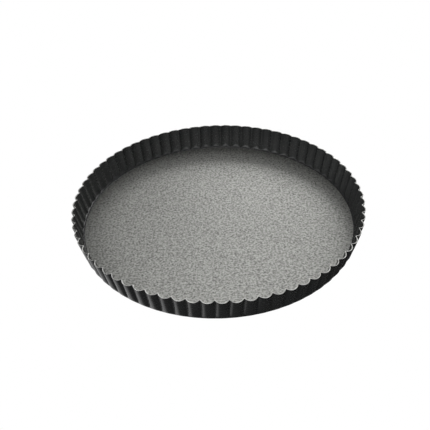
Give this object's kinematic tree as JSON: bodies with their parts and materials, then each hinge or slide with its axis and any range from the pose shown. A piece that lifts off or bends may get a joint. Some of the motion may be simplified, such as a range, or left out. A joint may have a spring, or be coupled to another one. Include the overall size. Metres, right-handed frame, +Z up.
{
  "type": "tart pan",
  "caption": "Round fluted tart pan with a non-stick coating: a pressed ring with a turned-in ledge, and a flat loose base that lies on the ledge and lifts out.",
  "frame": {"origin": "centre of the pan, on the surface that it stands on", "axes": "+Z up, along the pan's axis; +X through the crest of one flute"},
  "size_m": [0.28, 0.28, 0.0265],
  "materials": {
    "nonstick_black": "satin near-black non-stick coating on sheet steel, worn to light metal on the rim's edge",
    "nonstick_grey": "satin speckled grey non-stick coating on sheet steel"
  },
  "bodies": {
    "ring": {"fluted_ring": "nonstick_black"},
    "base": {"loose_base": "nonstick_grey"}
  },
  "joints": [
    {"name": "base_lift", "type": "slide", "parent": "ring", "child": "base", "axis": [0, 0, 1], "range_m": [0, 0.05]}
  ]
}
